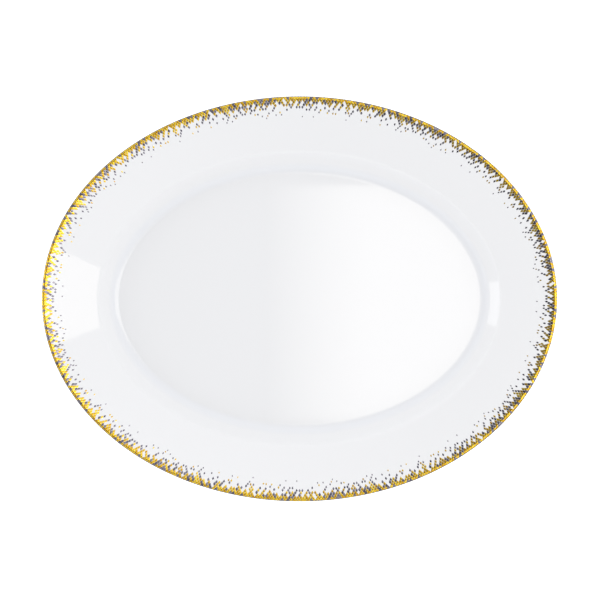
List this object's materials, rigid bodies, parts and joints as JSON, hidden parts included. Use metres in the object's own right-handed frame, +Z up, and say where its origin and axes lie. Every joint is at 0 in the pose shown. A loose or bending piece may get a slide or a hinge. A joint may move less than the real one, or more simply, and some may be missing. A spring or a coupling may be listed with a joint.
{
  "type": "oval serving platter",
  "caption": "Oval porcelain serving platter with a wide sloping rim, a flat well, a low foot ring and gold and platinum lozenges scattered along its rim.",
  "frame": {"origin": "middle of the oval foot, on the plane that the platter stands on", "axes": "+X along the length of the oval, +Y across it, +Z up"},
  "size_m": [0.3556, 0.2796, 0.026],
  "materials": {
    "porcelain": "vitrified white porcelain, hidden under the glaze",
    "bare_porcelain": "matt unglazed porcelain, ground smooth",
    "glaze": "clear gloss glaze over white porcelain",
    "gold": "bright gold, fired on",
    "platinum": "bright platinum, fired on"
  },
  "bodies": {
    "root": {"porcelain_body": "porcelain", "foot_ring": "bare_porcelain", "glaze_coat": "glaze", "base_glaze": "glaze", "lip_gold": "gold", "rim_gold": "gold", "rim_platinum": "platinum"}
  },
  "joints": []
}
